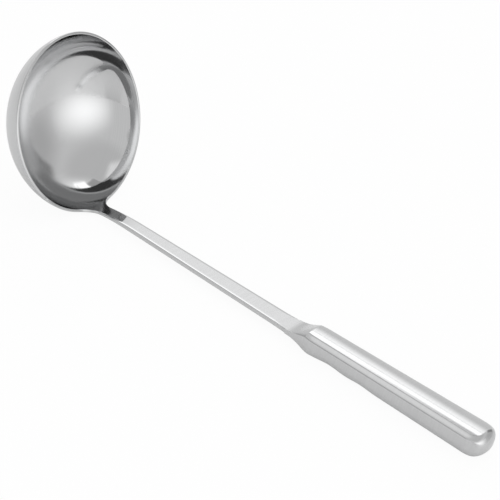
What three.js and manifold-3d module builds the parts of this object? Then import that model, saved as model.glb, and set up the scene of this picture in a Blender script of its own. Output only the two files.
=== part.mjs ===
// A stainless serving ladle with a hollow handle, in millimetres, lying on a table.
// +X runs from the bowl to the handle's end, +Z is up, and the origin is the middle of the footprint.
// The bowl, its neck, the shank and the tang are one pressing. Two half shells close round the tang
// as the handle, joined by a weld along their seam and by a collar of weld round the shank.

import * as THREE from 'three';
import { mergeVertices } from 'three/addons/utils/BufferGeometryUtils.js';
import Module from 'manifold-3d';

const wasm = await Module();
wasm.setup();

const { lerp, clamp, smoothstep, degToRad } = THREE.MathUtils;

// Bowl
const bowlMouthRadius = 45.25; // inside the rim
const bowlInsideDepth = 30.2;
const bowlWall = 1.5;
const wallLean = degToRad(12.1); // outward from upright, at the rim

// Neck and shank
const shankThickness = 2.5;
const shankWidthAtRim = 8.5; // without the neck's fillets
const shankWidthAtHandle = 13;
const shankLength = 111.5; // the straight stretch, from the neck to the handle's mouth
const shankRise = degToRad(65.2); // from the plane of the rim
const neckLength = 30; // the bend from the bowl's wall into the straight shank
const neckFillet = 8;
const tangLength = 38; // inside the handle
const tangEndWidth = 8;

// Handle, from its mouth to its end
const handleLength = 108;
const handleFrontWidth = 16.8;
const handleRearWidth = 19.6;
const handleFrontTop = 10.6; // along the top's edge, above the table
const handleRearTop = 12;
const handleCrown = 0.7; // of the top across its width
const undersideRadius = 4.5;
const handleWall = 1;
const shoulderLength = 8; // behind the mouth, to the full width
const shoulderDelay = 0.67; // 0.5 gives an even swell, and more keeps to the shank for longer
const rampTop = 3.7; // from the mouth back to the edge where the ramp meets the top
const rampLength = 8.5; // from the shank up to the top
const rampFoot = 2; // height over which the ramp leaves the shank in a curve
const heelLength = 2.5; // from the shoulder to the finger hollows across the underside
const gripHollowDepth = 0.5;
const gripHollowLength = 19;
const gripHollowCount = 2;

// Band between the handle's top and its flanks, and how far up its faces look
const bandEdgeRadius = 0.6; // between the flank and the band
const bandRadius = 17;
const topEdgeRadius = 0.5; // between the band and the top
const bandStart = degToRad(51);
const bandEnd = degToRad(61);
const topStart = degToRad(78);

// Handle's end
const endRounding = 9.5; // length over which the end rounds off
const endSquareness = 0.68; // 0.55 gives a half ellipse and 1 a square end
const endUpperRadius = 5.5; // to which the band rounds off at the tip
const endLowerRadius = 5.5; // between the tip and the underside
const endSetback = 4.3; // from the tip to the end of the top
const topSquareness = 0.85; // of the top's end

// Welds
const seamWeldHeight = 0.8;
const collarLength = 9; // of weld, in front of the handle's mouth
const collarLip = 0.1; // what is left of the weld where it runs out on the shank
const weldGap = 0.1; // between the shank and the weld

// Facets
const bowlRings = 14;
const rimColumns = 56; // round the bowl, apart from the neck
const neckColumns = 8;
const filletRows = 6;
const bendRows = 5;
const edgeSteps = 4; // round each lower edge of the handle
const bandSteps = 2; // on each of the band's three arcs
const crownSteps = 6;
const shoulderSteps = 20;
const gripHollowSteps = 5; // along each finger hollow
const endSteps = 12;

const polishedSteel = { color: 0xc9cbcc, metalness: 1, roughness: 0.16 };
const brushedSteel = { color: 0xc4c6c8, metalness: 1, roughness: 0.28 };
const weldSteel = { color: 0xbcbec0, metalness: 1, roughness: 0.3 };

// The bowl's inside is an ellipsoid whose centre stands above the rim, so that the wall leans out there.
const leanSlope = Math.tan(wallLean);
const bowlCentre = (bowlInsideDepth ** 2 * leanSlope) / (bowlMouthRadius - 2 * bowlInsideDepth * leanSlope);
const bowlDrop = bowlInsideDepth + bowlCentre;
const bowlSpread = bowlMouthRadius / Math.sqrt(1 - (bowlCentre / bowlDrop) ** 2);
const rimAngle = Math.acos(bowlCentre / bowlDrop);

// The neck bends from the slope of the bowl's wall to the shank's, both seen from the side.
const wallRise = Math.PI / 2 - wallLean;
const neckStart = new THREE.Vector2(bowlMouthRadius, 0);
const neckCorner = neckStart.clone().add(slope(wallRise).multiplyScalar(neckLength / 2));
const neckEnd = neckCorner.clone().add(slope(shankRise).multiplyScalar(neckLength / 2));
const neckPath = new THREE.QuadraticBezierCurve(neckStart, neckCorner, neckEnd);

// Lying down, the bowl's back and the handle's underside touch the table, at height 0.
// The straight shank starts at x = 0 and runs level.
const bowlReach = Math.hypot(bowlSpread * Math.sin(shankRise), bowlDrop * Math.cos(shankRise))
  - bowlCentre * Math.cos(shankRise) + bowlWall;
const neckReach = neckEnd.x * Math.sin(shankRise) - neckEnd.y * Math.cos(shankRise);
const shankTop = bowlReach - neckReach;
const shankBottom = shankTop - shankThickness;
const seamHeight = (shankTop + shankBottom) / 2;
const handleMouth = shankLength;
const handleEnd = handleMouth + handleLength;
const collarStart = handleMouth - collarLength;
const shoulderEnd = handleMouth + shoulderLength;
const gripStart = shoulderEnd + heelLength;
const rear = handleEnd - endRounding;
const collarTop = shankTop + weldGap + collarLip;
const collarBottom = shankBottom - weldGap - collarLip;
const rampEnd = handleMouth + rampTop;
const rampStart = rampEnd - rampLength;
const bandWidth = bandProfile(0).at(-1).x;
const crownBend = handleCrown / (handleFrontWidth / 2 - bandWidth) ** 2;

function slope(angle) {
  return new THREE.Vector2(Math.cos(angle), Math.sin(angle));
}

// Half the shank's width, at a distance along it from the rim.
function shankHalfWidth(distance) {
  const share = distance / (neckLength + shankLength);
  return lerp(shankWidthAtRim, shankWidthAtHandle, share) / 2;
}

// A point on the bowl's inside, from its lowest point (angle 0) up to the rim, and the way the wall faces.
function bowlPoint(angle, turn) {
  const side = new THREE.Vector3(Math.cos(turn), Math.sin(turn), 0);
  const position = side.clone().multiplyScalar(bowlSpread * Math.sin(angle));
  position.z = bowlCentre - bowlDrop * Math.cos(angle);
  const facing = side.multiplyScalar(-Math.sin(angle) / bowlSpread);
  facing.z = Math.cos(angle) / bowlDrop;
  return { position, facing: facing.normalize(), thickness: bowlWall };
}

// A point on the upper face of the neck, shank and tang. The face is as round as the rim where it starts,
// and flat from the end of the neck on.
function shankPoint(distance, side) {
  const share = Math.min(distance / neckLength, 1);
  const centre = neckPath.getPoint(share);
  const heading = neckPath.getTangent(share);
  centre.addScaledVector(heading, Math.max(distance - neckLength, 0));
  const flattening = smoothstep(share, 0, 1);
  const bend = (1 - flattening) / bowlMouthRadius;
  const turn = Math.asin(bend * side);
  const setBack = bend > 0 ? (1 - Math.cos(turn)) / bend : 0;
  return {
    position: new THREE.Vector3(centre.x - setBack, side, centre.y),
    facing: new THREE.Vector3(-heading.y * Math.cos(turn), -heading.y * Math.sin(turn), heading.x),
    thickness: lerp(bowlWall, shankThickness, flattening),
  };
}

// Rows of the neck, shank and tang: distance from the rim and half width. Fillets widen the first rows.
function shankRows() {
  const rows = [];
  for (let row = 1; row <= filletRows; row++) {
    const turn = (row / filletRows) * (Math.PI / 2);
    const distance = neckFillet * (1 - Math.cos(turn));
    rows.push([distance, shankHalfWidth(distance) + neckFillet * (1 - Math.sin(turn))]);
  }
  for (let row = 1; row <= bendRows; row++) {
    const distance = lerp(neckFillet, neckLength, row / bendRows);
    rows.push([distance, shankHalfWidth(distance)]);
  }
  const mouth = neckLength + shankLength;
  rows.push([mouth, shankHalfWidth(mouth)]);
  rows.push([mouth + tangLength, tangEndWidth / 2]);
  return rows;
}

// Gives a sheet its thickness: a second skin behind the first, and a strip along every open edge.
function thicken(sheet, triangles) {
  const count = sheet.length;
  const positions = [];
  for (const { position } of sheet) positions.push(...position.toArray());
  for (const { position, facing, thickness } of sheet) {
    positions.push(...position.clone().addScaledVector(facing, -thickness).toArray());
  }
  const solid = [];
  const openEdges = new Map();
  for (const [a, b, c] of triangles) {
    solid.push(a, b, c, c + count, b + count, a + count);
    for (const [from, to] of [[a, b], [b, c], [c, a]]) {
      if (!openEdges.delete(`${to} ${from}`)) openEdges.set(`${from} ${to}`, [from, to]);
    }
  }
  for (const [from, to] of openEdges.values()) {
    solid.push(to, from, from + count, to, from + count, to + count);
  }
  return indexedGeometry(positions, solid);
}

function indexedGeometry(positions, indices) {
  const geometry = new THREE.BufferGeometry();
  geometry.setAttribute('position', new THREE.Float32BufferAttribute(positions, 3));
  geometry.setIndex(indices);
  return geometry;
}

// The pressing, in the frame of the bowl: the rim lies in the plane z = 0 and the shank leaves along +X.
function bowlAndShankGeometry() {
  const neckFoot = shankWidthAtRim / 2 + neckFillet;
  const neckTurn = Math.asin(neckFoot / bowlMouthRadius);
  const turns = [];
  for (let column = 0; column <= neckColumns; column++) {
    turns.push(Math.asin((neckFoot * (2 * column / neckColumns - 1)) / bowlMouthRadius));
  }
  for (let column = 1; column < rimColumns; column++) {
    turns.push(lerp(neckTurn, 2 * Math.PI - neckTurn, column / rimColumns));
  }

  const sheet = [bowlPoint(0, 0)];
  const triangles = [];
  const quad = (a, b, c, d) => triangles.push([a, b, c], [a, c, d]);
  for (let ring = 1; ring <= bowlRings; ring++) {
    const first = sheet.length;
    for (const turn of turns) sheet.push(bowlPoint(rimAngle * ring / bowlRings, turn));
    for (let column = 0; column < turns.length; column++) {
      const here = first + column;
      const next = first + (column + 1) % turns.length;
      if (ring === 1) triangles.push([0, here, next]);
      else quad(here - turns.length, here, next, next - turns.length);
    }
  }

  let below = sheet.length - turns.length;
  for (const [distance, halfWidth] of shankRows()) {
    const first = sheet.length;
    for (let column = 0; column <= neckColumns; column++) {
      sheet.push(shankPoint(distance, halfWidth * (2 * column / neckColumns - 1)));
    }
    for (let column = 0; column < neckColumns; column++) {
      quad(below + column, first + column, first + column + 1, below + column + 1);
    }
    below = first;
  }
  return thicken(sheet, triangles);
}

// The control points of an end that rounds off from its full width to the tip.
function roundEnd(start, tip, squareness) {
  const along = new THREE.Vector2(lerp(start.x, tip.x, squareness), start.y);
  return new THREE.CubicBezierCurve(start, along, new THREE.Vector2(tip.x, start.y * squareness), tip);
}

// Half the handle's outline seen from above, from the weld collar to the tip: places on it, the way it faces there
// and the step from it to the edge of the top. At the end that edge has a curve of its own.
function handleOutline() {
  const collarHalf = shankHalfWidth(neckLength + collarStart) + weldGap + collarLip;
  const start = new THREE.Vector2(collarStart, collarHalf);
  const front = new THREE.Vector2(shoulderEnd, handleFrontWidth / 2);
  const gripEnd = new THREE.Vector2(gripStart + gripHollowCount * gripHollowLength, 0);
  const back = new THREE.Vector2(rear, handleRearWidth / 2);
  const tip = new THREE.Vector2(handleEnd, 0);
  gripEnd.y = lerp(front.y, back.y, (gripEnd.x - front.x) / (back.x - front.x));
  const taper = back.clone().sub(front).normalize();
  const sweep = front.x - start.x;
  const leave = new THREE.Vector2(start.x + sweep * shoulderDelay, start.y);
  const arrive = front.clone().addScaledVector(taper, -sweep * (1 - shoulderDelay));
  const topStartsAt = new THREE.Vector2(back.x, back.y - bandWidth);
  const stretches = [
    [new THREE.CubicBezierCurve(start, leave, arrive, front), shoulderSteps],
    [new THREE.LineCurve(front, gripEnd), gripHollowCount * gripHollowSteps],
    [new THREE.LineCurve(gripEnd, back), 1],
    [roundEnd(back, tip, endSquareness), endSteps],
  ];
  const topEnd = roundEnd(topStartsAt, new THREE.Vector2(tip.x - endSetback, 0), topSquareness);
  const stations = [];
  for (const [curve, steps] of stretches) {
    for (let step = stations.length ? 1 : 0; step <= steps; step++) {
      const place = curve.getPoint(step / steps);
      const heading = curve.getTangent(step / steps);
      const out = new THREE.Vector2(-heading.y, heading.x);
      const atEnd = place.x > rear;
      const toTop = atEnd ? topEnd.getPoint(step / steps).sub(place) : out.clone().multiplyScalar(-bandWidth);
      stations.push({ place, out, toTop, atEnd });
    }
  }
  return stations;
}

// The band from the flank up to the top, as steps inward and upward. With roundness 0 it has two edges,
// and with 1 it is one arc.
function bandProfile(roundness) {
  const arcs = [
    [0, bandStart, bandEdgeRadius],
    [bandStart, bandEnd, bandRadius],
    [bandEnd, topStart, topEdgeRadius],
  ];
  const profile = [new THREE.Vector2(0, 0)];
  for (const [low, high, sideRadius] of arcs) {
    const from = profile.at(-1);
    const radius = lerp(sideRadius, endUpperRadius, roundness);
    for (let step = 1; step <= bandSteps; step++) {
      const turn = lerp(low, high, step / bandSteps);
      const inward = radius * (Math.cos(low) - Math.cos(turn));
      const upward = radius * (Math.sin(turn) - Math.sin(low));
      profile.push(new THREE.Vector2(from.x + inward, from.y + upward));
    }
  }
  return profile;
}

// The larger of two values, with a rounded change where they differ by less than a width.
function softMax(first, second, width) {
  const near = Math.max(width - Math.abs(first - second), 0);
  return Math.max(first, second) + near ** 2 / (4 * width);
}

// Heights of the handle's top edge and underside above the table. The ramp meets the top in an edge.
function handleTop(x) {
  const level = lerp(handleFrontTop, handleRearTop, (x - shoulderEnd) / (handleEnd - shoulderEnd));
  const ramp = lerp(collarTop, handleFrontTop, (x - rampStart) / rampLength);
  return Math.min(softMax(collarTop, ramp, rampFoot), level);
}

function handleUnderside(x) {
  const hollowAt = (x - gripStart) / gripHollowLength;
  const inGrip = hollowAt > 0 && hollowAt < gripHollowCount;
  const hollow = inGrip ? gripHollowDepth * Math.sin(Math.PI * hollowAt) ** 2 : 0;
  return collarBottom * (1 - smoothstep(x, rampStart - rampFoot, shoulderEnd)) + hollow;
}

// How large the band and the crown are: next to nothing at the ramp's foot, and 1 from its edge to the top on.
function handleGrowth(x) {
  return clamp((x - rampStart) / rampLength, collarLip / bandRadius, 1);
}

// How far the crown stands above the top's side edges, at a distance from the middle.
function crownRise(x, side) {
  const width = lerp(handleFrontWidth, handleRearWidth, (x - shoulderEnd) / (rear - shoulderEnd));
  return crownBend * Math.max((width / 2 - bandWidth) ** 2 - side ** 2, 0);
}

// The lower rounding grows from next to nothing on the collar to its full radius in the first finger hollow.
function lowerRounding(x, roundness, margin) {
  const heelEnd = gripStart + gripHollowLength / 2;
  const radius = lerp(undersideRadius, endLowerRadius, roundness);
  const full = lerp(collarLip * 2, radius, smoothstep(x, collarStart, heelEnd));
  return Math.max(full - margin, collarLip);
}

// The handle's solid form, drawn in by a margin all over. Each section starts at the underside's right edge
// and goes round over the top. Near the tip the sections turn with the outline, and the last one is flat.
function handleForm(margin) {
  const level = (point) => new THREE.Vector3(point.x, Math.max(point.y, 0), 0);
  const sections = handleOutline().map(({ place, out, toTop, atEnd }) => {
    const roundness = Math.max(out.x, 0) ** 2;
    const flank = place.clone().addScaledVector(out, -margin);
    const rounding = lowerRounding(place.x, roundness, margin);
    const right = [];
    for (let step = 0; step <= edgeSteps; step++) {
      const turn = (step / edgeSteps) * (Math.PI / 2);
      const point = level(flank.clone().addScaledVector(out, rounding * (Math.sin(turn) - 1)));
      point.z = handleUnderside(point.x) + margin + rounding * (1 - Math.cos(turn));
      right.push(point);
    }
    const growth = handleGrowth(place.x);
    const band = bandProfile(roundness);
    const full = band.at(-1);
    const topEdge = flank.clone().addScaledVector(toTop, growth);
    const arch = atEnd ? crownRise(topEdge.x, topEdge.y) : 0;
    for (const { x: inward, y: upward } of band) {
      const point = level(flank.clone().lerp(topEdge, inward / full.x));
      const fall = growth * (full.y - upward);
      point.z = handleTop(point.x) - margin - fall + arch * (upward / full.y);
      right.push(point);
    }
    const edge = right.at(-1);
    const crown = [];
    for (let step = 1; step < crownSteps; step++) {
      const side = edge.y * (1 - 2 * step / crownSteps);
      crown.push(new THREE.Vector3(edge.x, side, edge.z + growth * crownBend * (edge.y ** 2 - side ** 2)));
    }
    const left = right.map((point) => new THREE.Vector3(point.x, -point.y, point.z)).reverse();
    return [...right, ...crown, ...left];
  });
  return loft(sections);
}

// A closed solid through sections that follow one another along +X, each drawn the same way round.
function loft(sections) {
  const positions = sections.flat().flatMap((point) => point.toArray());
  const indices = [];
  const size = sections[0].length;
  for (let row = 1; row < sections.length; row++) {
    for (let column = 0; column < size; column++) {
      const a = (row - 1) * size + column;
      const b = (row - 1) * size + (column + 1) % size;
      indices.push(a, b, b + size, a, b + size, a + size);
    }
  }
  const last = (sections.length - 1) * size;
  for (let column = 1; column < size - 1; column++) {
    indices.push(0, column + 1, column, last, last + column, last + column + 1);
  }
  return solidOf(indexedGeometry(positions, indices));
}

function box(from, to) {
  const size = to.clone().sub(from);
  const middle = from.clone().add(to).divideScalar(2);
  return solidOf(new THREE.BoxGeometry(size.x, size.y, size.z).translate(middle.x, middle.y, middle.z));
}

function solidOf(geometry) {
  geometry.deleteAttribute('normal');
  geometry.deleteAttribute('uv');
  const merged = mergeVertices(geometry);
  const corners = [];
  for (let i = 0; i < merged.index.count; i += 3) {
    const [a, b, c] = merged.index.array.slice(i, i + 3);
    if (a !== b && b !== c && c !== a) corners.push(a, b, c);
  }
  const mesh = new wasm.Mesh({
    numProp: 3,
    vertProperties: new Float32Array(merged.attributes.position.array),
    triVerts: new Uint32Array(corners),
  });
  return new wasm.Manifold(mesh);
}

function geometryOf(solid) {
  const { vertProperties, triVerts } = solid.getMesh();
  return indexedGeometry(Array.from(vertProperties), Array.from(triVerts));
}

// The slot that the shank and its tang need through the weld collar.
function shankSlot() {
  const sections = [collarStart - collarLength, handleMouth + collarLength].map((x) => {
    const half = shankHalfWidth(neckLength + x) + weldGap;
    const low = shankBottom - weldGap;
    const high = shankTop + weldGap;
    const corners = [[half, low], [half, high], [-half, high], [-half, low]];
    return corners.map(([y, z]) => new THREE.Vector3(x, y, z));
  });
  return loft(sections);
}

// Half shells, their seam weld and the weld collar are all cut from one form, so their faces meet.
function handlePieces() {
  const form = handleForm(0);
  const cavity = handleForm(handleWall);
  const reach = handleRearWidth;
  const seamLow = seamHeight - seamWeldHeight / 2;
  const seamHigh = seamHeight + seamWeldHeight / 2;
  const span = (fromX, toX, fromZ, toZ) => box(
    new THREE.Vector3(fromX, -reach, fromZ), new THREE.Vector3(toX, reach, toZ));
  const far = handleEnd + reach;
  const shell = form.subtract(cavity).subtract(shankSlot());
  return {
    upperShell: shell.intersect(span(handleMouth, far, seamHigh, far)),
    seamWeld: shell.intersect(span(handleMouth, far, seamLow, seamHigh)),
    lowerShell: shell.intersect(span(handleMouth, far, -reach, seamLow)),
    collar: form.subtract(shankSlot()).intersect(span(collarStart - reach, handleMouth, -reach, far)),
  };
}

function addPiece(group, name, geometry, finish) {
  const piece = new THREE.Mesh(geometry, new THREE.MeshStandardMaterial(finish));
  piece.name = name;
  group.add(piece);
  return piece;
}

const ladle = new THREE.Group();
const pressing = addPiece(ladle, 'bowl_and_shank', bowlAndShankGeometry(), polishedSteel);
pressing.rotation.y = shankRise;
pressing.position.set(0, 0, shankTop)
  .sub(new THREE.Vector3(neckEnd.x, 0, neckEnd.y).applyEuler(pressing.rotation));

const handle = handlePieces();
addPiece(ladle, 'handle_upper_shell', geometryOf(handle.upperShell), brushedSteel);
addPiece(ladle, 'handle_lower_shell', geometryOf(handle.lowerShell), brushedSteel);
addPiece(ladle, 'handle_seam_weld', geometryOf(handle.seamWeld), weldSteel);
addPiece(ladle, 'handle_mouth_weld', geometryOf(handle.collar), weldSteel);

// The origin moves to the middle of the footprint, and the table stays at height 0.
const footprint = new THREE.Box3().setFromObject(ladle, true);
ladle.position.x = -(footprint.min.x + footprint.max.x) / 2;

export default ladle;
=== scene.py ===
"""A stainless serving ladle with a hollow handle, dressed over its construction.

Everything is in metres, in the frame of the construction: +X runs from the bowl to the
handle's end, and +Z is up from the table that the ladle lies on.
"""

import math
from collections import namedtuple

import bpy
from bpy.props import FloatProperty, FloatVectorProperty, IntProperty, PointerProperty
from mathutils import Matrix, Vector


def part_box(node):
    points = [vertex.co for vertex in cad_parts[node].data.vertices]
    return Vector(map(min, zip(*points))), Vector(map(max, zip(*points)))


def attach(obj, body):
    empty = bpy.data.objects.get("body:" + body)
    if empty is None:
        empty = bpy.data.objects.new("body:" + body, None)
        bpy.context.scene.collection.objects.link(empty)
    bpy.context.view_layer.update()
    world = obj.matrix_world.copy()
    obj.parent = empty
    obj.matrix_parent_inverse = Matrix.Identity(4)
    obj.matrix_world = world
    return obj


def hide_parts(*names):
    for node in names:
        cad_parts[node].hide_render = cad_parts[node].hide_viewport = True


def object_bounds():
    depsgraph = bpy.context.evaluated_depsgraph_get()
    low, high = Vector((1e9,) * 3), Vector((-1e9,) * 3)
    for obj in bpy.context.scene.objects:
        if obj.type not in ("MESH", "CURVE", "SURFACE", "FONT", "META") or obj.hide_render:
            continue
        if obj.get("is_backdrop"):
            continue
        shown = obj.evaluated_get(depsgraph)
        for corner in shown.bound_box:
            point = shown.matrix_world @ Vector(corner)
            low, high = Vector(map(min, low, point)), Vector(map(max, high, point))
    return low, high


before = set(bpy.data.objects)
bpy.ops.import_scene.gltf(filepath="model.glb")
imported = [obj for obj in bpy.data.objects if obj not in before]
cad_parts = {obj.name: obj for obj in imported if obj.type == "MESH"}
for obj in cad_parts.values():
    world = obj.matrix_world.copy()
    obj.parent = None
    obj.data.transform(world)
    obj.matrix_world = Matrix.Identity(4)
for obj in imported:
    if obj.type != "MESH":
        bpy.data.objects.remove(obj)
cad_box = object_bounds()

bl_info = {
    "name": "Serving ladle",
    "version": (1, 0, 0),
    "blender": (4, 5, 0),
    "location": "3D View > Sidebar > Ladle",
    "description": "Builds a steel serving ladle over its construction, with its finishes and a small studio",
    "category": "Object",
}

MM = 0.001
QUARTER = math.pi / 2
MEETING = 1e-7  # points closer than this are one point
HALVINGS = 40  # enough to find a place on a curve to rounding

# Finishes of the pressing, by their place in its list of materials
INSIDE_FINISH, BACK_FINISH, SHANK_FINISH = range(3)

# Grain of the steel, per metre, and how strongly it shows
BRUSH_SCALE = (1400, 90, 90)
BRUSH_BUMP = 0.05
RING_SCALE = 4000
RING_BUMP = 0.03
GRAIN_DEPTH = 0.00002
GRAIN_CONTRAST = 0.86
GRAIN_DETAIL = 3.0
GLOSS_SPREAD = (0.85, 1.15)  # of the roughness, over the grain

# Where the satin disc ends and where the polished wall begins, as shares of the mouth's radius
DISC_EDGE = 0.7
WALL_EDGE = 0.9

# Studio: distances, tones of its surfaces, and heights of the ceiling's edge in a sphere of radius 1
WHITE = (1, 1, 1, 1)
STUDIO_REACH = 5
CARD_SPACING = 0.93  # of the reach, from each card to the next
FLOOR_SIZE = 4
FLOOR_LEVEL = -0.00005
FLOOR_GLOW = 0.94  # seen by the camera
FLOOR_SHEEN = 0.2  # seen in the steel
PAPER_TONE = 0.9
PAPER_ROUGHNESS = 0.4
ROOM_TONE = 0.8
CEILING_TONE = 0.7
CEILING_START = 0.68
CEILING_END = 0.88
SECOND_REFLECTION = 1.5  # the glossy depth is less in a first reflection and more in a second

# Share of the handle's band that is left where it fades out on the shank
SMALLEST_BAND = 0.02

# Facets of the pressing
BOWL_RINGS = 60
RIM_COLUMNS = 208
NECK_COLUMNS = 28
FILLET_ROWS = 20
BEND_ROWS = 24
EDGE_STEPS = 5

# Facets of the handle
COLLAR_STEPS = 12
SHOULDER_STEPS = 24
GRIP_STEPS = 48
REAR_STEPS = 16
END_STEPS = 44
UNDERSIDE_STEPS = 12
FLANK_STEPS = 3
BAND_STEPS = 5
CROWN_STEPS = 16

# A card of the studio: its direction, size and roll as angles seen from the ladle, in degrees,
# the share of its size over which its edges fade, its brightness, and whether it shows in
# second reflections alone
Card = namedtuple(
    "Card", "name azimuth elevation width height feather brightness roll second_only", defaults=[0, False],
)

# From the farthest to the nearest
CARDS = (
    Card("back_glow", 121, 48, 66, 52, 0.5, 1.55, 42),
    Card("back_lamp", 127, 51.5, 46, 17, 0.12, 1.75, 42),
    Card("back_seam", 121, 47.5, 40, 3.4, 0.4, 1.0, 42),
    Card("top_cloth", 143.4, 66.3, 26, 13, 0.12, 0.48, 42),
    Card("side_lamp", -15, 16, 96, 70, 0.5, 1.6),
    Card("front_lamp", -148, 66, 36, 28, 0.35, 1.04),
    Card("front_cloth", -140, 20, 84, 46, 0.2, 0.52),
    Card("side_cloth", 55, 20, 64, 60, 0.45, 0.58),
    Card("end_cloth", 76, 24, 18, 34, 0.25, 0.3),
    Card("side_glow", -4, 18, 60, 50, 0.4, 1.9, second_only=True),
    Card("ceiling_cloth", 0, 88, 70, 70, 0.15, 0.4, second_only=True),
    Card("camera_cloth", -58, 22, 32, 56, 0.15, 0.08, second_only=True),
)

# A place on the handle's outline: where it is, which way it faces, and the step from it to the
# edge of the top
Station = namedtuple("Station", "x half out_x out_y top_x top_y")


# Sizes and finishes that a user can change

def length(name, description, millimetres):
    """A size in metres, written in millimetres."""
    return FloatProperty(
        name=name, description=description, default=millimetres * MM,
        precision=5, unit="LENGTH", subtype="DISTANCE",
    )


def angle(name, description, degrees):
    """An angle in radians, written in degrees."""
    return FloatProperty(
        name=name, description=description, default=math.radians(degrees),
        unit="ROTATION", subtype="ANGLE",
    )


def share(name, description, default):
    """A plain number."""
    return FloatProperty(name=name, description=description, default=default, precision=3)


def colour(name, description, default):
    """A linear colour."""
    return FloatVectorProperty(
        name=name, description=description, default=default, size=3, subtype="COLOR",
    )


class LADLE_PG_pressing(bpy.types.PropertyGroup):
    """Sizes of the bowl, neck, shank and tang, which are pressed from one sheet."""

    mouth_radius: length("Mouth radius", "Of the bowl, inside its rim", 45.25)
    inside_depth: length("Inside depth", "Of the bowl, below its rim", 30.2)
    bowl_wall: length("Bowl wall", "Thickness of the bowl's wall", 1.48)
    wall_lean: angle("Wall lean", "Of the bowl's wall at the rim, outward from upright", 12.1)
    shank_thickness: length("Shank thickness", "Of the flat shank", 2.5)
    width_at_rim: length("Width at the rim", "Of the shank, without the neck's fillets", 8.5)
    width_at_handle: length("Width at the handle", "Of the shank", 13)
    shank_length: length("Shank length", "The straight stretch from the neck to the handle's mouth", 111.5)
    shank_rise: angle("Shank rise", "From the plane of the rim", 65.2)
    neck_length: length("Neck length", "The bend from the bowl's wall into the straight shank", 30)
    neck_fillet: length("Neck fillet", "Between the rim and the shank's edges", 8)
    tang_length: length("Tang length", "Of the shank inside the handle", 38)
    tang_end_width: length("Tang end width", "Of the shank where it ends in the handle", 8)
    rim_rounding: length("Rim rounding", "Along the bowl's rim", 0.5)
    edge_width: length("Edge width", "Of the shank's upper edges, which fall off gently", 2)
    edge_drop: length("Edge drop", "Of the shank's upper edges", 0.6)
    edge_fade: length("Edge fade", "Over which the shank's edges narrow before the handle", 8)
    edge_end: length("Edge end", "From the end of the shank's wide edges to the handle's mouth", 9)


class LADLE_PG_handle(bpy.types.PropertyGroup):
    """Sizes of the hollow handle and its welds."""

    front_width: length("Front width", "Behind the shoulder", 16.8)
    rear_width: length("Rear width", "Before the end rounds off", 19.6)
    front_top: length("Front top", "Height of the top's edge behind the shoulder", 10.6)
    rear_top: length("Rear top", "Height of the top's edge at the end", 12)
    crown: length("Crown", "Rise of the top across its width, behind the shoulder", 0.7)
    top_edge: length("Top edge", "Radius of the edge between the top and the band", 2.8)
    band_round: length("Band round", "Radius of the band between the top and the flank", 12.5)
    band_edge: length("Band edge", "Radius of the edge between the band and the flank", 1.2)
    band_low: angle("Band start", "How far up the band faces where it starts above the flank", 51)
    band_high: angle("Band end", "How far up the band faces where it ends below the top", 61)
    top_slope: angle("Top slope", "How far up the top faces at its edge", 78)
    end_upper: length("Upper end radius", "Radius to which the band rounds off at the tip", 5.5)
    end_setback: length("End setback", "From the tip to the end of the top", 4.3)
    top_squareness: share("Top squareness", "0.55 gives the top a half ellipse and 1 a square end", 0.85)
    end_lower: length("Lower end radius", "Between the tip and the underside", 5.5)
    ramp_top: length("Ramp top", "From the mouth back to the edge where the ramp meets the top", 3.7)
    ramp_slope: angle("Ramp slope", "Of the ramp from the shank up to the top", 29.8)
    ramp_foot: length("Ramp foot", "Height over which the ramp leaves the shank in a curve", 2)
    ramp_edge: length("Ramp edge", "Height over which the ramp's edge to the top is rounded", 0.3)
    underside_radius: length("Underside radius", "Between the flank and the underside", 4.5)
    wall: length("Wall", "Thickness of the shells", 1)
    mouth_wall: length("Mouth wall", "Thickness of the shells at the mouth", 0.6)
    end_rounding: length("End rounding", "Length over which the end rounds off", 9.5)
    end_squareness: share("End squareness", "0.55 gives a half ellipse and 1 a square end", 0.68)
    shoulder_length: length("Shoulder length", "From the mouth to the full section", 8)
    shoulder_delay: share("Shoulder delay", "0.5 swells evenly, and more keeps to the shank for longer", 0.67)
    heel_length: length("Heel length", "From the shoulder to the finger hollows", 2.5)
    hollow_depth: length("Hollow depth", "Of the finger hollows across the underside", 0.5)
    hollow_length: length("Hollow length", "Of each finger hollow", 19)
    hollow_count: IntProperty(name="Hollow count", description="Finger hollows under the handle", default=2)
    seam_weld_height: length("Seam weld height", "Of the weld between the half shells", 0.8)
    collar_length: length("Collar length", "Of the weld in front of the handle's mouth", 9)
    collar_lip: length("Collar lip", "What is left of the weld where it runs out on the shank", 0.06)
    weld_gap: length("Weld gap", "Between the shank and the weld", 0.03)


class LADLE_PG_finish(bpy.types.PropertyGroup):
    """Steel finishes."""

    steel: colour("Steel", "Of the polished bowl and shank", (0.645, 0.648, 0.652))
    satin: colour("Satin steel", "Of the handle and the bowl's back", (0.65, 0.653, 0.657))
    weld: colour("Ground weld", "Of the welds, a little duller than the shells", (0.64, 0.643, 0.647))
    disc_roughness: share("Disc roughness", "Of the satin disc at the bottom of the bowl", 0.15)
    wall_roughness: share("Wall roughness", "Of the polished wall under the rim", 0.05)
    back_roughness: share("Back roughness", "Of the bowl's satin back", 0.3)
    shank_roughness: share("Shank roughness", "Of the shank's fine satin", 0.16)
    handle_roughness: share("Handle roughness", "Of the handle's fine satin", 0.14)


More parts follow.
